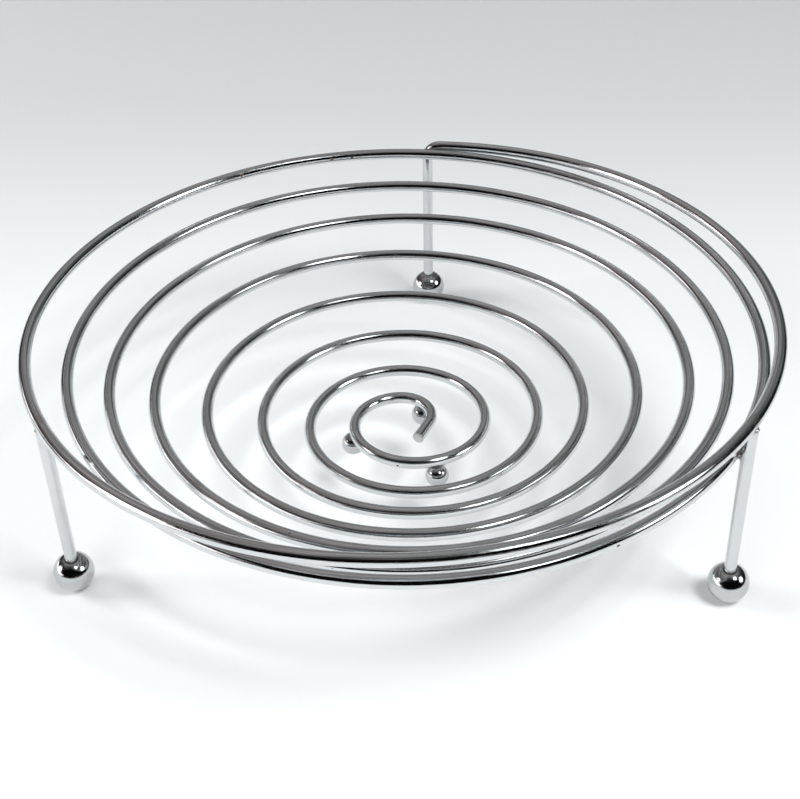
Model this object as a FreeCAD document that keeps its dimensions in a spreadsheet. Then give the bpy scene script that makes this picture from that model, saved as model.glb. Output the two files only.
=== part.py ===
import FreeCAD, Part
import math
import os
from FreeCAD import Placement, Rotation, Vector

# A spiral wire bowl on ball feet, for cooling and serving bread.  One chromed wire
# starts as a hook in the middle, winds outward and up as a bowl, and turns down at
# the back as a leg.  Two more wires stand under the rim as the other legs.  Each leg
# ends in a socket in a ball foot, and three smaller balls are welded under the
# innermost turn.  Millimetres, +Z up.  The origin is on the table, on the axis of
# the spiral.  Azimuths are in degrees from +X, anticlockwise seen from above.

DIMENSIONS = [
    # alias, value, what it is
    ("wire_diameter", 4.8, "diameter of the spiral wire and of the legs"),
    ("rim_radius", 145.0, "radius of the rim, to the middle of the wire"),
    ("bowl_depth", 59.5, "rise from the flat middle to the highest point of the rim"),
    ("base_height", 34.0, "height of the flat middle above the table, to the middle of the wire"),
    ("touch_gap", 0.15, "air between a leg and the turn that it stands against"),
    ("hook_radius", 12.6, "bend radius of the hook in the middle"),
    ("hook_angle", 109.0, "how far the hook turns, in degrees"),
    ("tail_length", 10.9, "straight free end of the wire, inside the hook"),
    ("leg_bend_radius", 6.0, "bend radius where the rim turns down into the back leg"),
    ("back_leg_azimuth", 87.1, "direction of the back leg"),
    ("left_leg_azimuth", 210.0, "direction of the top of the left leg"),
    ("left_foot_azimuth", 205.5, "direction of the left foot"),
    ("right_leg_azimuth", 326.8, "where the right leg passes the turn that it stands against"),
    ("right_foot_azimuth", 330.4, "direction of the right foot"),
    ("foot_inset", 0.8, "how far the left and right feet stand inside their legs' tops"),
    ("foot_diameter", 16.0, "diameter of a ball foot"),
    ("socket_depth", 5.0, "depth of the socket in a ball foot, from the top of the ball"),
    ("socket_clearance", 0.04, "air round a leg in its socket"),
    ("stud_diameter", 9.6, "diameter of a ball under the innermost turn"),
    ("stud_outset", 0.9, "how far a stud sits outside the middle of the wire"),
    ("left_stud_turn", 0.55, "where the left stud is, in turns of the spiral"),
    ("front_stud_turn", 0.81, "where the front stud is, in turns of the spiral"),
    ("back_stud_share", 0.34, "where the back stud is, as a share of the hook's bend"),
    ("weld_sink", 0.35, "how far the wire is pressed into what is welded under it"),
    ("collar_diameter", 6.2, "diameter of the weld round the top of a leg"),
    ("tack_share", 0.92, "diameter of the weld beside a leg, as a share of the wire's"),
]

# The shape of the coil: after how many turns from +X, how far out (as a share of the
# rim's radius) and how high (as a share of the bowl's depth) the wire is.  The middle
# is flat, the wall climbs evenly, and the last turn lifts clear to make the rim.
COIL_STATIONS = [
    (0.28, 0.101, 0.000),
    (0.36, 0.118, 0.000),
    (0.50, 0.155, 0.000),
    (0.90, 0.208, -0.010),
    (1.30, 0.248, -0.008),
    (1.75, 0.334, 0.025),
    (2.25, 0.390, 0.059),
    (3.25, 0.534, 0.185),
    (4.25, 0.672, 0.353),
    (5.25, 0.800, 0.504),
    (6.00, 0.869, 0.605),
    (6.50, 0.924, 0.697),
    (6.75, 0.938, 0.690),
    (7.00, 0.952, 0.773),
    (7.25, 0.969, 0.866),
    (7.50, 1.017, 0.908),
    (7.75, 1.000, 1.000),
    (8.00, 0.976, 0.983),
]
LAST_STATION = (8.25, 0.895)  # turns and height; its radius follows the turn inside it
SPANS_PER_TURN = 12

doc = FreeCAD.newDocument("spiral_bowl")
sheet = doc.addObject("Spreadsheet::Sheet", "dimensions")
for row, (alias, value, meaning) in enumerate(DIMENSIONS, start=1):
    sheet.set(f"A{row}", meaning)
    sheet.set(f"B{row}", str(value))
    sheet.setAlias(f"B{row}", alias)
doc.recompute()

WIRE_RADIUS = "dimensions.wire_diameter / 2"


def size(alias):
    """The value of one cell of the dimensions sheet."""
    return float(getattr(sheet, alias))


wire_radius = size("wire_diameter") / 2
foot_radius = size("foot_diameter") / 2
stud_radius = size("stud_diameter") / 2


# --- the path of the spiral wire ---------------------------------------------------


def coil_profile():
    """Radius and height as smooth functions of the number of turns."""
    rim_radius = size("rim_radius")
    depth = size("bowl_depth")
    points = [Vector(turns, out * rim_radius, up * depth) for turns, out, up in COIL_STATIONS]
    last_turn, last_up = LAST_STATION
    inner = next(point for point in points if point.x == last_turn - 1)
    last_radius = inner.y + size("wire_diameter") + size("touch_gap")
    points.append(Vector(last_turn, last_radius, last_up * depth))
    curve = Part.BSplineCurve()
    curve.interpolate(Points=points, Parameters=[point.x for point in points])
    return curve


profile = coil_profile()


def coil_point(turns):
    """The middle of the wire after so many turns."""
    station = profile.value(turns)
    angle = 2 * math.pi * turns
    height = size("base_height") + station.z
    return Vector(station.y * math.cos(angle), station.y * math.sin(angle), height)


def coil_direction(turns):
    """The direction in which the wire runs after so many turns."""
    step = 1e-4
    return (coil_point(turns + step) - coil_point(turns - step)).normalize()


def arc_from(start, direction, end):
    """The arc that leaves start along direction and reaches end, or a line."""
    chord = end - start
    along = Vector(chord).normalize()
    across = direction - along * direction.dot(along)
    if across.Length < 1e-9:
        return Part.LineSegment(start, end).toShape()
    half_turn = math.atan2(across.Length, direction.dot(along))
    rise = chord.Length / 2 * math.tan(half_turn / 2)
    middle = (start + end) * 0.5 + across.normalize() * rise
    return Part.Arc(start, middle, end).toShape()


def arc_pair(start, start_direction, end, end_direction):
    """Two arcs that join start to end smoothly, keeping both directions."""
    chord = end - start
    turn = 2 * (1 - start_direction.dot(end_direction))
    pull = chord.dot(start_direction + end_direction)
    reach = (math.sqrt(pull * pull + turn * chord.dot(chord)) - pull) / turn
    joint = (start + end + (start_direction - end_direction) * reach) * 0.5
    joint_direction = (end - end_direction * reach - start - start_direction * reach).normalize()
    return [arc_from(start, start_direction, joint), arc_from(joint, joint_direction, end)]


def bend_step(direction, new_direction, radius):
    """How far a bend of this radius carries the wire from one direction to another."""
    angle = direction.getAngle(new_direction)
    return (direction + new_direction) * (radius * math.tan(angle / 2))


def hook_edges(spiral_start, spiral_direction):
    """The free tail and the hook's bend, up to the spiral's start."""
    to_tail = Rotation(Vector(0, 0, 1), -size("hook_angle"))
    tail_direction = to_tail.multVec(spiral_direction)
    bend_start = spiral_start - bend_step(tail_direction, spiral_direction, size("hook_radius"))
    tail_end = bend_start - tail_direction * size("tail_length")
    return [
        Part.LineSegment(tail_end, bend_start).toShape(),
        arc_from(bend_start, tail_direction, spiral_start),
    ]


def coil_edges(first_turn, last_turn):
    """The spiral itself, as pairs of arcs."""
    count = math.ceil((last_turn - first_turn) * SPANS_PER_TURN)
    stops = [first_turn + (last_turn - first_turn) * i / count for i in range(count + 1)]
    edges = []
    for here, there in zip(stops, stops[1:]):
        edges += arc_pair(
            coil_point(here), coil_direction(here), coil_point(there), coil_direction(there)
        )
    return edges


def back_leg_edges(rim_end, rim_direction, foot_height):
    """The bend at the end of the rim and the straight leg below it."""
    down = Vector(0, 0, -1)
    leg_top = rim_end + bend_step(rim_direction, down, size("leg_bend_radius"))
    leg_end = Vector(leg_top.x, leg_top.y, foot_height)
    return [
        arc_from(rim_end, rim_direction, leg_top),
        Part.LineSegment(leg_top, leg_end).toShape(),
    ], leg_end


socket_floor = foot_radius - size("socket_depth")  # above the middle of the ball
first_turn = COIL_STATIONS[0][0]
bend_angle = math.degrees(size("leg_bend_radius") / size("rim_radius"))
last_turn = 8 + (size("back_leg_azimuth") - bend_angle) / 360

hook = hook_edges(coil_point(first_turn), coil_direction(first_turn))
back_leg, back_leg_end = back_leg_edges(
    coil_point(last_turn), coil_direction(last_turn), foot_radius + socket_floor
)
path = doc.addObject("Part::Feature", "spiral_path")
path.Shape = Part.Wire(hook + coil_edges(first_turn, last_turn) + back_leg)

# --- the spiral wire -----------------------------------------------------------------

tail_edge = path.Shape.OrderedEdges[0]
section = doc.addObject("Part::Circle", "spiral_section")
section.setExpression("Radius", WIRE_RADIUS)
section.Placement = Placement(
    tail_edge.firstVertex().Point,
    Rotation(Vector(0, 0, 1), tail_edge.tangentAt(tail_edge.FirstParameter)),
)
spiral_wire = doc.addObject("Part::Sweep", "spiral_wire")
spiral_wire.Sections = [section]
spiral_wire.Spine = (path, [f"Edge{i + 1}" for i in range(len(path.Shape.Edges))])
spiral_wire.Solid = True
spiral_wire.Frenet = False
doc.recompute()


# --- pieces welded to it ---------------------------------------------------------------


def ball(name, radius_expression, middle, pole=Vector(0, 0, 1)):
    """A sphere round one point, with its poles along the direction given."""
    sphere = doc.addObject("Part::Sphere", name)
    sphere.setExpression("Radius", radius_expression)
    sphere.Placement = Placement(middle, Rotation(Vector(0, 0, 1), pole))
    return sphere


def rod(name, radius_expression, start, end):
    """A round rod from one point to another."""
    cylinder = doc.addObject("Part::Cylinder", name)
    cylinder.setExpression("Radius", radius_expression)
    cylinder.Height = (end - start).Length
    cylinder.Placement = Placement(start, Rotation(Vector(0, 0, 1), end - start))
    return cylinder


def cut(name, base, *tools):
    """What is left of a shape once one or more others are cut out of it."""
    for number, tool in enumerate(tools, start=1):
        is_last = number == len(tools)
        result = doc.addObject("Part::Cut", name if is_last else f"{name}_step_{number}")
        result.Base = base
        result.Tool = tool
        base = result
    return base


def polar(radius, azimuth, height):
    """A point given by its distance and direction from the axis."""
    angle = math.radians(azimuth)
    return Vector(radius * math.cos(angle), radius * math.sin(angle), height)


def foot_ball(name, middle, leg_direction):
    """A ball foot with the socket for its leg."""
    floor_point = middle + leg_direction * socket_floor
    above = middle + leg_direction * size("foot_diameter")
    socket_radius = f"{WIRE_RADIUS} + dimensions.socket_clearance"
    whole = ball(f"{name}_sphere", "dimensions.foot_diameter / 2", middle)
    return cut(name, whole, rod(f"{name}_socket", socket_radius, floor_point, above))


def stud(name, wire_point, bend_middle):
    """A small ball welded under the wire, a little to the outside of its bend."""
    outward = Vector(wire_point.x - bend_middle.x, wire_point.y - bend_middle.y, 0).normalize()
    reach = wire_radius + stud_radius - size("weld_sink")
    drop = math.sqrt(reach**2 - size("stud_outset") ** 2)
    middle = wire_point + outward * size("stud_outset") - Vector(0, 0, drop)
    whole = ball(f"{name}_sphere", "dimensions.stud_diameter / 2", middle)
    return cut(name, whole, spiral_wire)


def foot_under(side, leg_radius):
    """The middle of a ball foot, a little inside the radius of its leg."""
    return polar(leg_radius - size("foot_inset"), size(f"{side}_foot_azimuth"), foot_radius)


def leg(side, foot_middle, top):
    """A leg, its foot and the weld round its top, up to the middle of the rim."""
    up = (top - foot_middle).normalize()
    leg_start = foot_middle + up * socket_floor
    leg_end = top - up * (wire_radius - size("weld_sink"))
    blank = rod(f"{side}_leg_blank", WIRE_RADIUS, leg_start, leg_end)
    wire = cut(f"{side}_leg", blank, spiral_wire)
    foot = foot_ball(f"{side}_foot_ball", foot_middle, up)
    collar = ball(f"{side}_collar_sphere", "dimensions.collar_diameter / 2", top - up * wire_radius)
    weld = cut(f"{side}_leg_weld", collar, spiral_wire, wire)
    return [wire, foot, weld]


def tack(name, inner, outer, *tools):
    """The weld between a turn of the coil and the leg that stands against it.

    Its poles lie inside the two wires, so that only its waist is left.
    """
    bead_radius = f"dimensions.tack_share * {WIRE_RADIUS}"
    bead = ball(f"{name}_sphere", bead_radius, (inner + outer) * 0.5, outer - inner)
    return cut(name, bead, *tools)


nodes = [spiral_wire]

# The left leg reaches straight up to the rim.
left_rim = coil_point(7 + size("left_leg_azimuth") / 360)
left_foot = foot_under("left", math.hypot(left_rim.x, left_rim.y))
nodes += leg("left", left_foot, left_rim)

# The right leg leans past the outside of the turn below the rim, where a second weld
# holds it, and goes on in the same line up to the rim.
right_turn = 6 + size("right_leg_azimuth") / 360
right_inner = coil_point(right_turn)
passing_radius = math.hypot(right_inner.x, right_inner.y) + size("wire_diameter") + size("touch_gap")
right_beside = polar(passing_radius, size("right_leg_azimuth"), right_inner.z)
right_foot = foot_under("right", passing_radius)
share_up = (right_inner.z - right_foot.z) / (coil_point(right_turn + 1).z - right_foot.z)
right_pieces = leg("right", right_foot, right_foot + (right_beside - right_foot) / share_up)
nodes += right_pieces
nodes.append(tack("right_turn_weld", right_inner, right_beside, spiral_wire, right_pieces[0]))

back_foot_middle = Vector(back_leg_end.x, back_leg_end.y, foot_radius)
nodes.append(foot_ball("back_foot_ball", back_foot_middle, Vector(0, 0, 1)))
back_inner = coil_point(7 + size("back_leg_azimuth") / 360)
back_beside = Vector(back_leg_end.x, back_leg_end.y, back_inner.z)
nodes.append(tack("back_leg_weld", back_inner, back_beside, spiral_wire))

# Two studs stand under the innermost turn and one under the bend of the hook.
for side in ("left", "front"):
    nodes.append(stud(f"{side}_stud_ball", coil_point(size(f"{side}_stud_turn")), Vector()))
bend = path.Shape.OrderedEdges[1]
stud_at = bend.LastParameter + size("back_stud_share") * (bend.FirstParameter - bend.LastParameter)
nodes.append(stud("back_stud_ball", bend.valueAt(stud_at), bend.Curve.Center))

doc.recompute()

# --- checks and export -------------------------------------------------------------------

for item in doc.Objects:
    if "Invalid" in item.State or "Error" in item.State:
        raise RuntimeError(f"{item.Label} failed: {item.State}")
for node in nodes:
    if node.Shape.isNull() or not node.Shape.isValid():
        raise RuntimeError(f"{node.Label} has no valid shape")
    if len(node.Shape.Solids) != 1:
        raise RuntimeError(f"{node.Label} is {len(node.Shape.Solids)} solids")

wire_length = path.Shape.Length
volume_ratio = spiral_wire.Shape.Volume / (math.pi * wire_radius**2 * wire_length)
print(f"spiral wire {wire_length:.0f} mm long, volume ratio {volume_ratio:.5f}")

os.makedirs("parts", exist_ok=True)
for node in nodes:
    node.Shape.exportStep(f"parts/{node.Label}.step")
    print(f"{node.Label:18} {node.Shape.Volume:10.1f} mm3")
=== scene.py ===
# %% [markdown]
# # A spiral wire bread bowl in chrome
# The bowl is one long chromed wire, wound from a hook in the middle out to a raised
# rim, with three legs, three ball feet and three small balls under the middle.  The
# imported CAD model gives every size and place.  This script builds the smooth, detailed
# pieces that are shown in its stead, gives them a worn chrome finish, and lights them.
# All lengths are in metres, +Z is up, and the origin is on the table under the spiral.

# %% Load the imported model
import math

import bmesh
import bpy
import numpy as np
from mathutils import Matrix, Vector, noise
from mathutils.bvhtree import BVHTree


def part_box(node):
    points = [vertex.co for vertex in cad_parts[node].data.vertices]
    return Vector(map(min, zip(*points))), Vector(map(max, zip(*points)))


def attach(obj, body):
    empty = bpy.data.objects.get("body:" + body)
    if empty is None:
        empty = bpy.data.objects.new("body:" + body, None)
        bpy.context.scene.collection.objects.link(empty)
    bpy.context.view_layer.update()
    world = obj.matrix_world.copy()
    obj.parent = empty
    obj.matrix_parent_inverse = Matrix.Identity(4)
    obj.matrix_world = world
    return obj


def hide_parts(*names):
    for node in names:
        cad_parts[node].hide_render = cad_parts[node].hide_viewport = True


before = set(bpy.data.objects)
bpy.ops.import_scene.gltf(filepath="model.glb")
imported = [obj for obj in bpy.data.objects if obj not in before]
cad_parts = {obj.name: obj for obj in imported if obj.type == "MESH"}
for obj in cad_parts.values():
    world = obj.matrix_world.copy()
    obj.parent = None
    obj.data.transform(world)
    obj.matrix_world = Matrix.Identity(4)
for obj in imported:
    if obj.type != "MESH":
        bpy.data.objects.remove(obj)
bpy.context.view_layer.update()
print("nodes:", ", ".join(sorted(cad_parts)))

# %% [markdown]
# ## The camera
# The camera stands close to the table and looks down into the bowl.  The lens, the
# place and the three angles fix the view.  A camera looks along its own -Z, so it
# is first tipped up from looking straight down, then turned.

# %% Camera
LENS = 58.17  # mm, on a sensor 36 mm wide
CAMERA_PLACE = (0.00945, -0.42609, 0.36875)
CAMERA_TURN = 1.824  # degrees to the left
CAMERA_DOWN = 37.300  # degrees below the horizon
CAMERA_ROLL = -1.402  # degrees


def make_camera():
    """The camera that looks down into the bowl."""
    camera = bpy.data.objects.new("camera", bpy.data.cameras.new("camera"))
    bpy.context.scene.collection.objects.link(camera)
    camera.data.lens = LENS
    camera.data.clip_start = 0.01
    turn = Matrix.Rotation(math.radians(CAMERA_TURN), 4, "Z")
    tip = Matrix.Rotation(math.radians(90 - CAMERA_DOWN), 4, "X")
    roll = Matrix.Rotation(math.radians(CAMERA_ROLL), 4, "Z")
    camera.matrix_world = Matrix.Translation(CAMERA_PLACE) @ turn @ tip @ roll
    bpy.context.scene.camera = camera
    return camera


make_camera()
print("camera", CAMERA_PLACE, "lens", LENS)

# %% [markdown]
# ## Driving sizes
# The same sizes as in the CAD model, in metres.  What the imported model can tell, such
# as where a ball foot stands, is read from it instead.

# %% Sizes
WIRE_RADIUS = 0.0024
RIM_RADIUS = 0.145
BOWL_DEPTH = 0.0595
BASE_HEIGHT = 0.034
TOUCH_GAP = 0.00015
HOOK_RADIUS = 0.0126
HOOK_ANGLE = math.radians(109)
TAIL_LENGTH = 0.0109
LEG_BEND_RADIUS = 0.006
BACK_LEG_AZIMUTH = 87.1
LEFT_LEG_AZIMUTH = 210.0
RIGHT_LEG_AZIMUTH = 326.8  # where it passes the turn that it stands against
SOCKET_DEPTH = 0.005
SOCKET_CLEARANCE = 0.00004
SOCKET_RADIUS = WIRE_RADIUS + SOCKET_CLEARANCE
WELD_SINK = 0.00035
DOWN = np.array([0.0, 0.0, -1.0])

# The coil: turns from +X, distance from the axis as a share of the rim's radius, and
# height as a share of the bowl's depth.  Most of these values are the rounded results of
# a least-squares fit, as in the CAD source.  They weren't chosen by hand.
COIL_STATIONS = [
    (0.28, 0.101, 0.000),
    (0.36, 0.118, 0.000),
    (0.50, 0.155, 0.000),
    (0.90, 0.208, -0.010),
    (1.30, 0.248, -0.008),
    (1.75, 0.334, 0.025),
    (2.25, 0.390, 0.059),
    (3.25, 0.534, 0.185),
    (4.25, 0.672, 0.353),
    (5.25, 0.800, 0.504),
    (6.00, 0.869, 0.605),
    (6.50, 0.924, 0.697),
    (6.75, 0.938, 0.690),
    (7.00, 0.952, 0.773),
    (7.25, 0.969, 0.866),
    (7.50, 1.017, 0.908),
    (7.75, 1.000, 1.000),
    (8.00, 0.976, 0.983),
    (8.25, 0.969 + (2 * WIRE_RADIUS + TOUCH_GAP) / RIM_RADIUS, 0.895),
]
FIRST_TURN = COIL_STATIONS[0][0]
LAST_TURN = 8 + (BACK_LEG_AZIMUTH - math.degrees(LEG_BEND_RADIUS / RIM_RADIUS)) / 360

# %% [markdown]
# ## The line of the wire
# Between its stations the coil is a smooth cubic spline: its slope has no jumps, so a
# reflection runs along the wire without a kink.  The bends at both ends are true arcs,
# as a bending tool makes them.

# %% A smooth curve through the stations


def end_slope(at, values, where):
    """The slope at one end, from the cubic through the four points nearest to it."""
    return np.polyval(np.polyder(np.polyfit(at, values, 3)), where)


def smooth_curve(at, values):
    """A cubic spline through the given values, as a function."""
    at, values = np.array(at), np.array(values)
    gaps = np.diff(at)
    rises = np.diff(values) / gaps
    rows, goal = np.eye(len(at)), np.zeros(len(at))
    for i in range(1, len(at) - 1):
        rows[i, i - 1 : i + 2] = 1 / gaps[i - 1], 2 / gaps[i - 1] + 2 / gaps[i], 1 / gaps[i]
        goal[i] = 3 * (rises[i - 1] / gaps[i - 1] + rises[i] / gaps[i])
    goal[0] = end_slope(at[:4], values[:4], at[0])
    goal[-1] = end_slope(at[-4:], values[-4:], at[-1])
    slopes = np.linalg.solve(rows, goal)

    def curve(where):
        i = np.clip(np.searchsorted(at, where) - 1, 0, len(gaps) - 1)
        part = (where - at[i]) / gaps[i]
        bow = part * (1 - part) * gaps[i]
        line = values[i] + part * (values[i + 1] - values[i])
        start_lift = bow * (1 - part) * (slopes[i] - rises[i])
        end_lift = bow * part * (slopes[i + 1] - rises[i])
        return line + start_lift - end_lift

    return curve


turns, out, up = zip(*COIL_STATIONS)
coil_radius = smooth_curve(turns, np.array(out) * RIM_RADIUS)
coil_height = smooth_curve(turns, np.array(up) * BOWL_DEPTH + BASE_HEIGHT)


def coil_point(at):
    """The middle of the wire after so many turns: one point, or a row for each."""
    angle, radius = 2 * math.pi * np.asarray(at), coil_radius(at)
    return np.stack([radius * np.cos(angle), radius * np.sin(angle), coil_height(at)], axis=-1)


def unit(vector):
    return vector / np.linalg.norm(vector)


def coil_direction(at):
    """The direction in which the wire runs after so many turns."""
    step = 1e-4
    return unit(coil_point(at + step) - coil_point(at - step))


print("rim at turn 7.75:", coil_point(7.75).round(4))

# %% The whole route of the spiral wire
RINGS_PER_TURN = 240
RINGS_PER_BEND = 32
RINGS_PER_STRAIGHT = 12


def bend(start, direction, new_direction, radius):
    """Points round one bend, which starts at start and ends along new_direction."""
    turned = math.acos(float(np.clip(direction @ new_direction, -1, 1)))
    inward = unit(new_direction - direction * (direction @ new_direction))
    angles = np.linspace(0, turned, RINGS_PER_BEND)[:, None]
    return start + radius * (np.sin(angles) * direction + (1 - np.cos(angles)) * inward)


def straight(start, end):
    return np.linspace(start, end, RINGS_PER_STRAIGHT)


def turned_flat(direction, angle):
    """A direction turned about the vertical."""
    x, y, z = direction
    cos, sin = math.cos(angle), math.sin(angle)
    return np.array([x * cos - y * sin, x * sin + y * cos, z])


def hook_route():
    """The free tail and the hook, up to where the coil starts."""
    spiral_start, along = coil_point(FIRST_TURN), coil_direction(FIRST_TURN)
    tail = turned_flat(along, -HOOK_ANGLE)
    hook_start = spiral_start - (tail + along) * HOOK_RADIUS * math.tan(HOOK_ANGLE / 2)
    return [
        straight(hook_start - tail * TAIL_LENGTH, hook_start),
        bend(hook_start, tail, along, HOOK_RADIUS),
    ]


def back_leg_route(foot_top):
    """The bend at the end of the rim and the leg below it."""
    down_bend = bend(coil_point(LAST_TURN), coil_direction(LAST_TURN), DOWN, LEG_BEND_RADIUS)
    leg_top = down_bend[-1]
    return [down_bend, straight(leg_top, np.array([leg_top[0], leg_top[1], foot_top]))]


def joined(stretches):
    """One row of points from several that start where the last one ended."""
    return np.concatenate([stretches[0]] + [stretch[1:] for stretch in stretches[1:]])


foot_low, foot_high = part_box("back_foot_ball")
FOOT_RADIUS = (foot_high[0] - foot_low[0]) / 2
SOCKET_FLOOR = 2 * FOOT_RADIUS - SOCKET_DEPTH  # above the table
coil_count = round((LAST_TURN - FIRST_TURN) * RINGS_PER_TURN)
coil_route = coil_point(np.linspace(FIRST_TURN, LAST_TURN, coil_count))
spiral_route = joined(hook_route() + [coil_route] + back_leg_route(SOCKET_FLOOR))
print("rings along the spiral wire:", len(spiral_route))

# %% [markdown]
# ## Bending a straight wire
# The real wire starts as a straight rod, and so does this one: a long cylinder whose
# sides are cut into rings.  Each ring is then carried to its place on the route.  A
# frame that turns no more than the wire itself keeps the rings from twisting.  The
# straight wire's own coordinates are kept in an attribute, so that lines drawn along
# the rod in the mill still follow it round every turn.

# %% A bent wire
WIRE_SIDES = 32
END_CHAMFER = 0.00035
ACROSS_START = (0.3, 0.2, 1.0)  # any direction that no wire starts along


def carried_frames(route):
    """Two directions across the wire at each point, which twist as little as possible."""
    along = np.gradient(route, axis=0)
    along /= np.linalg.norm(along, axis=1)[:, None]
    side = unit(np.cross(along[0], ACROSS_START))
    sides = []
    for direction in along:
        side = unit(side - direction * (side @ direction))
        sides.append(side)
    sides = np.array(sides)
    return sides, np.cross(along, sides)


def straight_wire(stops):
    """A straight round wire along +Z from 0, with a ring of points at each stop."""
    wire = bmesh.new()
    bmesh.ops.create_cone(
        wire, cap_ends=True, segments=WIRE_SIDES, radius1=WIRE_RADIUS, radius2=WIRE_RADIUS, depth=1
    )
    bmesh.ops.translate(wire, verts=wire.verts, vec=(0, 0, 0.5))
    long_edges = [edge for edge in wire.edges if abs(edge.verts[0].co.z - edge.verts[1].co.z) > 0.5]
    bmesh.ops.subdivide_edges(wire, edges=long_edges, cuts=len(stops) - 2)
    for vert in wire.verts:
        vert.co.z = stops[round(vert.co.z * (len(stops) - 1))]
    rims = [
        edge
        for edge in wire.edges
        if max(len(face.verts) for face in edge.link_faces) == WIRE_SIDES
    ]
    bmesh.ops.bevel(
        wire, geom=rims, offset=END_CHAMFER, segments=3, profile=0.5, affect="EDGES", material=-1
    )
    return wire


def bent_wire(route):
    """A wire whose middle follows the route, with its straight place as an attribute."""
    steps = np.linalg.norm(np.diff(route, axis=0), axis=1)
    stops = np.concatenate([[0.0], np.cumsum(steps)])
    sides, crosses = carried_frames(route)
    wire = straight_wire(stops)
    place = wire.verts.layers.float_vector.new("wire_place")
    for vert in wire.verts:
        vert[place] = vert.co
    x, y, z = np.array([vert.co for vert in wire.verts]).T
    columns = [np.hstack([route, sides, crosses])[:, i] for i in range(9)]
    at = np.stack([np.interp(z, stops, column) for column in columns], axis=1)
    bent = at[:, :3] + x[:, None] * at[:, 3:6] + y[:, None] * at[:, 6:]
    for vert, point in zip(wire.verts, bent):
        vert.co = point
    return wire


spiral = bent_wire(spiral_route)
print("spiral wire:", len(spiral.verts), "points,", len(spiral.faces), "faces")

# %% [markdown]
# ## The two welded legs
# They are the same wire, cut to length.  The left one reaches straight up to the rim.
# The right one leans past the outside of the turn below, which holds it too, and goes
# on in the same line up to the rim.

# %% Legs


def ball_middle(node):
    low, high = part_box(node)
    return np.array([(low[0] + high[0]) / 2, (low[1] + high[1]) / 2, (low[2] + high[2]) / 2])


def polar(radius, azimuth, height):
    angle = math.radians(azimuth)
    return np.array([radius * math.cos(angle), radius * math.sin(angle), height])


left_foot, right_foot = ball_middle("left_foot_ball"), ball_middle("right_foot_ball")
left_foot[2] = right_foot[2] = FOOT_RADIUS
left_top = coil_point(7 + LEFT_LEG_AZIMUTH / 360)
right_turn = 6 + RIGHT_LEG_AZIMUTH / 360
passing_radius = coil_radius(right_turn) + 2 * WIRE_RADIUS + TOUCH_GAP
right_beside = polar(passing_radius, RIGHT_LEG_AZIMUTH, coil_height(right_turn))
share_up = (right_beside[2] - FOOT_RADIUS) / (coil_height(right_turn + 1) - FOOT_RADIUS)
right_top = right_foot + (right_beside - right_foot) / share_up


def leg_route(top, foot):
    """From the socket's floor up to the underside of the rim."""
    up = unit(top - foot)
    return straight(foot + up * (FOOT_RADIUS - SOCKET_DEPTH), top - up * (WIRE_RADIUS - WELD_SINK))


left_leg = bent_wire(leg_route(left_top, left_foot))
right_leg = bent_wire(leg_route(right_top, right_foot))
print("left foot", left_foot.round(4), "right foot", right_foot.round(4))

# %% [markdown]
# ## Ball feet and small balls
# A ball foot is a turned ball with a blind hole for the leg.  Its outline is drawn once,
# from the bottom round to the hole's rounded lip and down to the floor of the hole, and
# spun.  A small ball has no hole: its weld flares from its top into the wire.

# %% Spun balls
SPIN_STEPS = 64
ARC_STEPS = 30
LIP_RADIUS = 0.00025
NECK_ANGLE = 68  # how high on a small ball its weld begins, in degrees


def arc(middle, radius, start, end, steps):
    """Points of an arc in the plane of the outline, as (distance from the axis, height)."""
    angles = np.radians(np.linspace(start, end, steps))
    return [(middle[0] + radius * math.cos(a), middle[1] + radius * math.sin(a)) for a in angles]


def spun(outline):
    """A closed solid from an outline that starts and ends on the axis."""
    shape = bmesh.new()
    verts = [shape.verts.new((max(x, 0.0), 0.0, z)) for x, z in outline]
    edges = [shape.edges.new(pair) for pair in zip(verts, verts[1:])]
    bmesh.ops.spin(
        shape, geom=verts + edges, cent=(0, 0, 0), axis=(0, 0, 1),
        angle=2 * math.pi, steps=SPIN_STEPS, use_merge=True,
    )
    bmesh.ops.remove_doubles(shape, verts=shape.verts, dist=1e-6)
    bmesh.ops.recalc_face_normals(shape, faces=shape.faces)
    return shape


def foot_outline():
    """Bottom, side, rounded lip, wall and floor of a ball foot with its socket."""
    lip_out = SOCKET_RADIUS + LIP_RADIUS
    lip_height = math.sqrt((FOOT_RADIUS - LIP_RADIUS) ** 2 - lip_out**2)
    lip_angle = math.degrees(math.atan2(lip_height, lip_out))
    side = arc((0, 0), FOOT_RADIUS, -90, lip_angle, ARC_STEPS)
    lip = arc((lip_out, lip_height), LIP_RADIUS, lip_angle, 180, 8)
    floor = FOOT_RADIUS - SOCKET_DEPTH
    wall = [(SOCKET_RADIUS, height) for height in np.linspace(lip_height, floor, 6)[1:]]
    return side + lip[1:] + wall + [(SOCKET_RADIUS / 2, floor), (0, floor)]


def stud_outline(radius):
    """A small ball whose weld flares from its top up into the wire."""
    neck = radius * math.cos(math.radians(NECK_ANGLE))
    shoulder = radius * math.sin(math.radians(NECK_ANGLE))
    side = arc((0, 0), radius, -90, NECK_ANGLE, ARC_STEPS)
    flare = [(neck * 0.88, shoulder + 0.00022), (neck * 0.86, shoulder + 0.0005)]
    top = radius + 0.0006
    return side + flare + [(neck * 0.95, top - 0.0003), (neck * 0.5, top), (0, top)]


def set_in_place(shape, middle, up=(0, 0, 1)):
    """Turns a spun shape's axis to a direction and carries it to its place."""
    turn = Vector((0, 0, 1)).rotation_difference(Vector(up)).to_matrix()
    bmesh.ops.rotate(shape, verts=shape.verts, cent=(0, 0, 0), matrix=turn)
    bmesh.ops.translate(shape, verts=shape.verts, vec=Vector(middle))
    return shape


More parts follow.
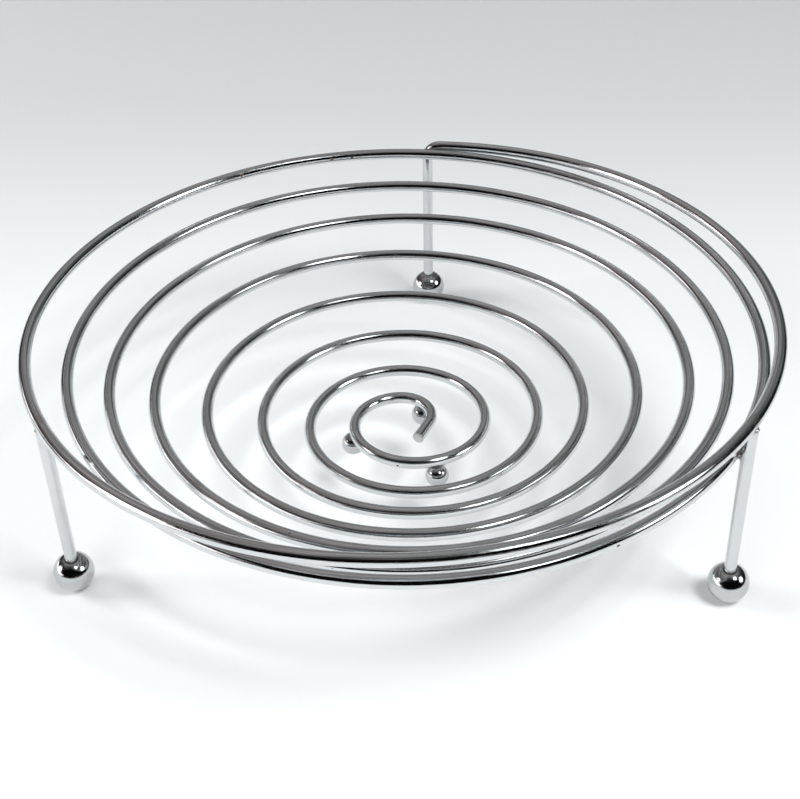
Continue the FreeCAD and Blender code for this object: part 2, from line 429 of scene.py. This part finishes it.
back_foot = np.array([spiral_route[-1][0], spiral_route[-1][1], FOOT_RADIUS])
left_ball = set_in_place(spun(foot_outline()), left_foot, unit(left_top - left_foot))
right_ball = set_in_place(spun(foot_outline()), right_foot, unit(right_top - right_foot))
back_ball = set_in_place(spun(foot_outline()), back_foot)


def stud_middle(node):
    """The middle of a small ball, from the CAD one's lowest point and its width."""
    low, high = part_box(node)
    radius = (high[0] - low[0]) / 2
    return np.array([(low[0] + high[0]) / 2, (low[1] + high[1]) / 2, low[2] + radius]), radius


def nearest_wire_point(middle):
    """The point of the spiral wire's middle line that is nearest to a place."""
    return spiral_route[np.argmin(np.linalg.norm(spiral_route - middle, axis=1))]


def stud(node):
    """A small ball in the place of a CAD one, whose neck points at the wire."""
    middle, radius = stud_middle(node)
    to_wire = unit(nearest_wire_point(middle) - middle)
    return set_in_place(spun(stud_outline(radius)), middle, to_wire)


STUD_NODES = ["left_stud_ball", "front_stud_ball", "back_stud_ball"]
studs = {node: stud(node) for node in STUD_NODES}
print("foot radius", round(FOOT_RADIUS, 4), "faces in a foot:", len(left_ball.faces))

# %% [markdown]
# ## Weld beads
# A weld is a small puddle of steel that froze as it flowed between two rods, then took
# the plating with them.  A finely divided ball, pushed in and out by smooth noise, has
# that lumpy, wet look.  Each bead reaches into both of the pieces that it joins.

# %% Weld beads
BEAD_LUMP = 0.00035  # how far the lumps stand out
BEAD_GRAIN = 620  # how fast the noise runs
LEG_TOP_REACH = (0.0025, 0.0025, 0.0011)  # half widths of each kind of bead
RIGHT_TACK_REACH = (0.0014, 0.0021, 0.0022)
BACK_TACK_REACH = (0.0013, 0.0018, 0.0019)


def bead(middle, reach, across, seed):
    """A lumpy ball whose half widths are reach, turned so that its X lies along across."""
    shape = bmesh.new()
    bmesh.ops.create_icosphere(shape, subdivisions=4, radius=1)
    bmesh.ops.scale(shape, verts=shape.verts, vec=Vector(reach))
    shift = Vector((seed, 2 * seed, 3 * seed))
    for vert in shape.verts:
        lump = noise.noise(vert.co * BEAD_GRAIN + shift) * BEAD_LUMP
        vert.co += vert.co.normalized() * lump
    turn = Matrix.Rotation(math.atan2(across[1], across[0]), 3, "Z")
    bmesh.ops.rotate(shape, verts=shape.verts, cent=(0, 0, 0), matrix=turn)
    bmesh.ops.translate(shape, verts=shape.verts, vec=Vector(middle))
    return shape


def leg_top_bead(top, seed):
    """The weld where a leg meets the underside of the rim."""
    under = top + DOWN * (WIRE_RADIUS - 0.0002)
    return bead(under, LEG_TOP_REACH, top, seed)


right_tack_middle = (coil_point(right_turn) + right_beside) / 2
back_turn = 7 + BACK_LEG_AZIMUTH / 360
back_beside = np.array([back_foot[0], back_foot[1], coil_height(back_turn)])
back_tack_middle = (coil_point(back_turn) + back_beside) / 2

beads = {
    "left_leg_weld": leg_top_bead(left_top, 3.1),
    "right_leg_weld": leg_top_bead(right_top, 7.7),
    "right_turn_weld": bead(right_tack_middle, RIGHT_TACK_REACH, right_beside, 1.3),
    "back_leg_weld": bead(back_tack_middle, BACK_TACK_REACH, back_beside, 5.9),
}
print("weld beads:", ", ".join(beads))

# %% [markdown]
# ## Writing a finish as sums
# A finish is a network of nodes, but its maths is easier to read as sums.  `Signal`
# stands for what comes out of one socket, and Python's operators on it add the Math
# nodes.  `Finish` holds one material and adds any other kind of node.

# %% Signals and finishes


class Signal:
    """What one socket gives.  Sums with it add Math nodes."""

    def __init__(self, finish, socket):
        self.finish = finish
        self.socket = socket

    def maths(self, operation, *values):
        settings = {"operation": operation}
        return self.finish.node("ShaderNodeMath", settings, dict(enumerate(values)))

    def __add__(self, other):
        return self.maths("ADD", self, other)

    def __sub__(self, other):
        return self.maths("SUBTRACT", self, other)

    def __rsub__(self, other):
        return self.maths("SUBTRACT", other, self)

    def __mul__(self, other):
        return self.maths("MULTIPLY", self, other)

    __radd__ = __add__
    __rmul__ = __mul__

    def smoothed(self, low, high):
        """0 up to low, 1 from high on, and an even S-shaped rise between them."""
        settings = {"interpolation_type": "SMOOTHSTEP"}
        inputs = {"Value": self, "From Min": low, "From Max": high}
        return self.finish.node("ShaderNodeMapRange", settings, inputs)


class Finish:
    """One material: its node tree, its shader and the signals that feed it."""

    def __init__(self, name):
        self.material = bpy.data.materials.new(name)
        self.material.use_nodes = True
        self.tree = self.material.node_tree
        self.surface = self.tree.nodes["Principled BSDF"]

    def node(self, kind, settings, inputs, output=0):
        """Adds a node of any kind and gives back one of its outputs."""
        made = self.tree.nodes.new(kind)
        for name, value in settings.items():
            setattr(made, name, value)
        for name, value in inputs.items():
            self.feed(made.inputs[name], value)
        return Signal(self, made.outputs[output])

    def feed(self, socket, value):
        if isinstance(value, Signal):
            self.tree.links.new(value.socket, socket)
        else:
            socket.default_value = value

    def set(self, **values):
        """Sets or links sockets of the shader, whose names have _ for a space."""
        for name, value in values.items():
            self.feed(self.surface.inputs[name.replace("_", " ")], value)

    def place(self):
        """Where a point of the piece is, in metres."""
        return self.node("ShaderNodeTexCoord", {}, {}, "Object")

    def wire_place(self):
        """Where a point was on the wire before it was bent."""
        return self.node("ShaderNodeAttribute", {"attribute_name": "wire_place"}, {}, "Vector")

    def scaled(self, vector, scale):
        return self.node("ShaderNodeMapping", {}, {"Vector": vector, "Scale": scale})

    def clouds(self, vector, scale, detail=2.0):
        """Soft noise about 0.5, with so many lumps per unit of the vector."""
        inputs = {"Vector": vector, "Scale": scale, "Detail": detail}
        return self.node("ShaderNodeTexNoise", {}, inputs)

    def spots(self, vector, scale, size, share):
        """Sparse round spots: 1 inside, 0 outside."""
        inputs = {"Vector": vector, "Scale": scale}
        away = self.node("ShaderNodeTexVoronoi", {}, inputs, "Distance")
        kind = self.node("ShaderNodeTexVoronoi", {}, inputs, "Color")
        chance = self.node("ShaderNodeSeparateXYZ", {}, {"Vector": kind}, "X")
        chosen = 1 - chance.smoothed(share, share + 0.02)
        return (1 - away.smoothed(size * 0.5, size)) * chosen

    def near(self, point, inner, outer):
        """1 within inner metres of a point, fading to 0 at outer."""
        inputs = {0: self.place(), 1: tuple(float(value) for value in point)}
        away = self.node("ShaderNodeVectorMath", {"operation": "DISTANCE"}, inputs, "Value")
        return 1 - away.smoothed(inner, outer)

    def mix(self, share, colour, other):
        """One colour turning into another as share goes from 0 to 1."""
        settings = {"data_type": "RGBA"}
        return self.node("ShaderNodeMix", settings, {0: share, 6: colour, 7: other}, 2)

    def bump(self, height, distance, strength=1.0):
        inputs = {"Height": height, "Distance": distance, "Strength": strength}
        return self.node("ShaderNodeBump", {}, inputs)


# %% [markdown]
# ## Chrome, old but cared for
# Plated wire mirrors whatever is round it, so most of its look is the room.  What makes
# it real is what disturbs the mirror: lines left by the drawing die, patches where the
# polish has gone dull, pits, a few rust freckles on the rim, and the grey, raw end where
# the wire was cut.

# %% Chrome for the wire
CHROME = (0.65, 0.665, 0.675, 1)
WORN_CHROME = (0.52, 0.525, 0.53, 1)
BALL_CHROME = (0.57, 0.59, 0.60, 1)
RUST = (0.10, 0.045, 0.018, 1)
RAW_STEEL = (0.62, 0.61, 0.59, 1)
# The darkest colour, for soot and pits, and for the painted shade where a ball meets its wire.
SOOT_AND_SHADE = (0.05, 0.045, 0.04, 1)
HEAT_BROWN = (0.34, 0.29, 0.24, 1)

# Rust freckles: after how many turns, which side of the wire (-1 inward, 1 outward),
# how high on that side in degrees, and how big.  The turns were found by a program.
FRECKLES = [
    (7.345, -1, 22, 0.0011),
    (7.294, -1, 10, 0.0010),
    (7.283, -1, 4, 0.0009),
    (4.334, -1, 19, 0.0007),
    (6.833, 1, -8, 0.0009),
    (0.725, 1, -5, 0.0007),
]


def on_the_wire(turn, side, rise):
    """A point on the surface of the coil."""
    angle, lift = 2 * math.pi * turn, math.radians(rise)
    outward = np.array([math.cos(angle), math.sin(angle), 0.0]) * side
    return coil_point(turn) + WIRE_RADIUS * (outward * math.cos(lift) - DOWN * math.sin(lift))


def weld_haze(finish):
    """Where the heat of a weld dulled the plating."""
    haze = 0.0
    for point in (left_top, right_top, right_tack_middle, back_tack_middle):
        haze = finish.near(point, 0.0025, 0.005) + haze
    return haze


def wire_chrome():
    """Chrome on drawn wire."""
    finish = Finish("wire_chrome")
    rod, place = finish.wire_place(), finish.place()
    grooves = finish.clouds(finish.scaled(rod, (1000, 1000, 9)), 1, 2)
    lines = finish.clouds(finish.scaled(rod, (2600, 2600, 14)), 1, 3)
    patches = finish.clouds(place, 60, 3)
    wobble = finish.clouds(place, 300, 2)
    pits = finish.spots(place, 420, 0.16, 0.04)
    freckles = 0.0
    ragged = finish.clouds(place, 1800, 3) - 0.5
    for turn, side, rise, size in FRECKLES:
        spot = finish.near(on_the_wire(turn, side, rise), size * 0.4, size)
        freckles = spot + freckles
    freckles = (freckles + ragged * 0.6).smoothed(0.35, 0.75) * freckles.smoothed(0.0, 0.2)
    along = finish.node("ShaderNodeSeparateXYZ", {}, {"Vector": rod}, "Z")
    cut_end = 1 - along.smoothed(0.0001, 0.0005)
    dull = patches.smoothed(0.52, 0.75)
    heat = weld_haze(finish).smoothed(0.0, 1.2)
    colour = finish.mix(dull * 0.5, CHROME, WORN_CHROME)
    colour = finish.mix(heat * 0.25, colour, HEAT_BROWN)
    colour = finish.mix(pits * 0.8, colour, SOOT_AND_SHADE)
    colour = finish.mix(cut_end * 0.9, colour, RAW_STEEL)
    colour = finish.mix(freckles, colour, RUST)
    rough = 0.08 + 0.10 * lines + 0.10 * dull + 0.12 * heat + 0.35 * cut_end + 0.5 * freckles
    height = 3.2 * grooves + 1.0 * lines + 1.0 * wobble - 1.5 * pits + 1.0 * freckles
    finish.set(
        Base_Color=colour, Roughness=rough, Metallic=1 - 0.9 * freckles,
        Normal=finish.bump(height, 0.00003),
    )
    return finish.material


# %% [markdown]
# ## Chrome for the balls
# The balls were turned and polished before plating, so they mirror more clearly than the
# wire.  Handling leaves fine scratches every way.  The ring round the leg, and the seat of
# a small ball's weld, are darkened with painted shade and some dirt.

# %% Chrome for balls
FOOT_SHADE_AND_DIRT = SOCKET_RADIUS * 1.35  # how far the painted shade and dirt reach from the middle of the hole
STUD_SHADE_AND_DIRT = 0.0026  # and from the middle of a small ball's weld


def ball_chrome(name, crevice, reach):
    """Polished chrome with painted shade and dirt round one point, where a ball meets its wire."""
    finish = Finish(name)
    place = finish.place()
    swirl = finish.clouds(finish.scaled(place, (3000, 500, 900)), 1, 3)
    cross = finish.clouds(finish.scaled(place, (600, 3400, 700)), 1, 3)
    patches = finish.clouds(place, 160, 3)
    pits = finish.spots(place, 500, 0.14, 0.12)
    # Painted shade with some dirt: darker, rougher and less metallic round the crevice.
    shade_and_dirt = finish.near(crevice, reach * 0.75, reach)
    dull = patches.smoothed(0.5, 0.75)
    colour = finish.mix(patches, BALL_CHROME, WORN_CHROME)
    colour = finish.mix(pits * 0.7, colour, SOOT_AND_SHADE)
    colour = finish.mix(shade_and_dirt * 0.85, colour, SOOT_AND_SHADE)
    rough = 0.07 + 0.06 * swirl + 0.05 * cross + 0.10 * dull + 0.4 * shade_and_dirt
    height = 0.6 * swirl + 0.6 * cross + 3.0 * patches - 1.5 * pits
    finish.set(
        Base_Color=colour, Roughness=rough, Metallic=1 - 0.5 * shade_and_dirt,
        Normal=finish.bump(height, 0.00002),
    )
    return finish.material


# %% [markdown]
# ## Weld metal
# The plating is thin on a weld: it is lumpy, greyer and rougher, with soot in its folds.

# %% Weld metal
WELD_PALE, WELD_DARK = (0.50, 0.50, 0.49, 1), (0.26, 0.25, 0.24, 1)


def weld_metal():
    """Lumpy metal with soot in its folds."""
    finish = Finish("weld_metal")
    place = finish.place()
    lumps = finish.clouds(place, 700, 3)
    grit = finish.clouds(place, 4000, 2)
    soot = lumps.smoothed(0.55, 0.7)
    colour = finish.mix(lumps, WELD_PALE, WELD_DARK)
    colour = finish.mix(soot * 0.7, colour, SOOT_AND_SHADE)
    finish.set(
        Base_Color=colour, Roughness=0.16 + 0.2 * grit + 0.2 * soot, Metallic=1 - 0.4 * soot,
        Normal=finish.bump(lumps + 0.3 * grit, 0.0001),
    )
    return finish.material


# %% [markdown]
# ## From mesh to piece
# Each finished mesh becomes an object that stands for its CAD node, which it hides, and rides with
# the root body.
# The largest distance between a new surface and the CAD one shows that nothing has
# moved or changed size.

# %% Pieces


def largest_distance(mesh, node):
    """How far the points of a mesh lie from a CAD node's surface, at most."""
    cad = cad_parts[node].data
    corners = [vert.co for vert in cad.vertices]
    surface = BVHTree.FromPolygons(corners, [face.vertices for face in cad.polygons])
    return max(surface.find_nearest(vert.co)[3] for vert in mesh.vertices)


def piece(name, shape, material, node):
    """Turns a shape into an object that stands for one CAD node."""
    mesh = bpy.data.meshes.new(name)
    shape.to_mesh(mesh)
    shape.free()
    mesh.shade_smooth()
    mesh.materials.append(material)
    made = bpy.data.objects.new(name, mesh)
    bpy.context.scene.collection.objects.link(made)
    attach(made, "root")
    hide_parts(node)
    off = largest_distance(mesh, node) * 1000
    print(f"{name:22} {len(mesh.polygons):6} faces, {off:.2f} mm off the CAD surface at most")
    return made


chrome = wire_chrome()
piece("spiral", spiral, chrome, "spiral_wire")
piece("left_leg_rod", left_leg, chrome, "left_leg")
piece("right_leg_rod", right_leg, chrome, "right_leg")

for side, shape, foot, top in (
    ("left", left_ball, left_foot, left_top),
    ("right", right_ball, right_foot, right_top),
    ("back", back_ball, back_foot, back_foot - DOWN),
):
    mouth = foot + unit(top - foot) * FOOT_RADIUS * 0.95
    plating = ball_chrome(f"{side}_foot_chrome", mouth, FOOT_SHADE_AND_DIRT)
    piece(f"{side}_foot", shape, plating, f"{side}_foot_ball")

for node, shape in studs.items():
    middle, radius = stud_middle(node)
    seat = middle + unit(nearest_wire_point(middle) - middle) * radius
    plating = ball_chrome(f"{node}_chrome", seat, STUD_SHADE_AND_DIRT)
    piece(node.replace("_ball", ""), shape, plating, node)

weld = weld_metal()
for node, shape in beads.items():
    piece(node.replace("weld", "bead"), shape, weld, node)

# %% [markdown]
# ## Table, room and lamps
# Chrome has no colour of its own, so the room is part of the look: a pale table below,
# a dim and blotchy room above that is darkest behind the camera, and a few bright
# patches, which show in the balls as small lamps and along the wire as streaks.

# %% Table
TABLE_RADIUS = 0.8
# The cloth is paler in front and darker behind: painted shade, for light that falls off towards the
# back.
TABLE_NEAR_LIT, TABLE_FAR_SHADED = (0.93, 0.955, 0.965, 1), (0.67, 0.70, 0.705, 1)
SHADE_START, SHADE_END = 0.0, 0.42  # along +Y, where the painted shade deepens


def make_table():
    """A plain, pale, round table top, which ends before the room begins.  Its colour is painted
    darker towards the back, as shade.
    """
    shape = bmesh.new()
    bmesh.ops.create_circle(shape, cap_ends=True, segments=128, radius=TABLE_RADIUS)
    mesh = bpy.data.meshes.new("table")
    shape.to_mesh(mesh)
    shape.free()
    finish = Finish("table_cloth")
    place = finish.place()
    back = finish.node("ShaderNodeSeparateXYZ", {}, {"Vector": place}, "Y")
    # Painted shade: darker towards the back.
    colour = finish.mix(back.smoothed(SHADE_START, SHADE_END), TABLE_NEAR_LIT, TABLE_FAR_SHADED)
    finish.set(Base_Color=colour, Roughness=0.9, Specular_IOR_Level=0.1)
    mesh.materials.append(finish.material)
    table = bpy.data.objects.new("table", mesh)
    bpy.context.scene.collection.objects.link(table)


make_table()

# %% Room
# A base tone that is brightest overhead and towards the back, and black behind the
# camera, then soft patches: which way each lies, its half widths, and how bright it is.
ROOM_LEAN = (0.0, 0.36, 0.80)
ROOM_DARK, ROOM_LIGHT = 0.30, 0.86
ROOM_LEVEL = 0.32
WARM_LEFT = (1.06, 0.97, 0.97, 1)
COOL_RIGHT = (0.94, 1.0, 0.99, 1)
PATCH_CORE = 0.6  # how much of a patch is at its full brightness
BACKDROP = (0.62, 0.65, 0.66, 1)
PATCHES = [
    ((-0.97, -0.05, 0.11), (0.60, 0.85, 0.11), 3.2),  # a wide, low window on the left
    ((-0.90, -0.16, 0.36), (0.22, 0.25, 0.20), 5.0),  # a taller one beside it
    ((0.87, -0.19, 0.45), (0.20, 0.22, 0.20), 8.0),  # a window on the right
    ((0.42, -0.40, 0.81), (0.16, 0.16, 0.16), 8.0),  # a ceiling lamp above the camera
    ((0.00, 1.00, 0.06), (0.80, 0.50, 0.20), 0.45),  # the pale wall behind the table
]


class Room(Finish):
    """The shader of the world, with the same sums as a finish."""

    def __init__(self, name):
        world = bpy.data.worlds.new(name)
        bpy.context.scene.world = world
        world.use_nodes = True
        self.tree = world.node_tree
        self.surface = self.tree.nodes["Background"]

    def toward(self):
        """The direction in which a ray leaves for the room."""
        return self.node("ShaderNodeTexCoord", {}, {}, "Generated")

    def along(self, direction):
        """How far the ray points along a direction, from -1 to 1."""
        inputs = {0: self.toward(), 1: tuple(Vector(direction))}
        return self.node("ShaderNodeVectorMath", {"operation": "DOT_PRODUCT"}, inputs, "Value")

    def patch(self, direction, half_widths):
        """1 in the middle of a soft oval patch, 0 outside it."""
        centre = {0: self.toward(), 1: direction}
        away = self.node("ShaderNodeVectorMath", {"operation": "SUBTRACT"}, centre)
        shares = {0: away, 1: half_widths}
        share = self.node("ShaderNodeVectorMath", {"operation": "DIVIDE"}, shares)
        reach = self.node("ShaderNodeVectorMath", {"operation": "LENGTH"}, {0: share}, "Value")
        return 1 - reach.smoothed(PATCH_CORE, 1.0)


def make_room():
    """A dim, blotchy room, which is pale where the camera sees it.

    The bright patches show in reflections only: lamps light the table in their stead.
    """
    room = Room("room")
    blotches = room.clouds(room.toward(), 3.2, 3).smoothed(0.30, 0.70)
    tone = room.along(ROOM_LEAN).smoothed(ROOM_DARK, ROOM_LIGHT) * ROOM_LEVEL
    level = tone * (0.30 + 1.2 * blotches) + 0.003
    mirrored = room.node("ShaderNodeLightPath", {}, {}, "Is Glossy Ray")
    for direction, half_widths, brightness in PATCHES:
        level = level + room.patch(direction, half_widths) * brightness * mirrored
    tint = room.mix(room.along((1, 0, 0)).smoothed(-0.5, 0.5), WARM_LEFT, COOL_RIGHT)
    room.set(Color=tint, Strength=level)
    backdrop = room.tree.nodes.new("ShaderNodeBackground")
    backdrop.inputs["Color"].default_value = BACKDROP
    seen = room.tree.nodes.new("ShaderNodeLightPath")
    either = room.tree.nodes.new("ShaderNodeMixShader")
    room.tree.links.new(seen.outputs["Is Camera Ray"], either.inputs["Fac"])
    room.tree.links.new(room.surface.outputs["Background"], either.inputs[1])
    room.tree.links.new(backdrop.outputs["Background"], either.inputs[2])
    output = room.tree.nodes["World Output"]
    room.tree.links.new(either.outputs["Shader"], output.inputs["Surface"])


make_room()

# %% Lamps
AIM = Vector((0.0, 0.0, 0.05))


def lamp(name, direction, distance, width, height, power):
    """A soft box in a direction from the bowl, turned to face it.

    It lights the table only.  What the chrome mirrors is the room with its patches.
    """
    light = bpy.data.lights.new(name, "AREA")
    light.shape = "RECTANGLE"
    light.size = width
    light.size_y = height
    light.energy = power
    made = bpy.data.objects.new(name, light)
    made.visible_glossy = False
    bpy.context.scene.collection.objects.link(made)
    toward = Vector(direction).normalized()
    facing = toward.to_track_quat("Z", "Y").to_matrix().to_4x4()
    made.matrix_world = Matrix.Translation(AIM + toward * distance) @ facing
    return made


lamp("window_left", (-0.925, 0.093, 0.368), 2.2, 1.0, 0.8, 37)
lamp("window_right", (0.87, -0.19, 0.45), 2.2, 0.9, 0.8, 9)
lamp("ceiling_lamp", (0.42, -0.30, 0.846), 1.8, 0.6, 0.6, 21)
lamp("lamp_behind_camera", (-0.448, -0.711, 0.542), 2.0, 1.2, 1.0, 10)

# %% [markdown]
# ## Colours as they are
# The standard view transform shows white as white, which suits a bright table.

# %% View
bpy.context.scene.view_settings.view_transform = "Standard"
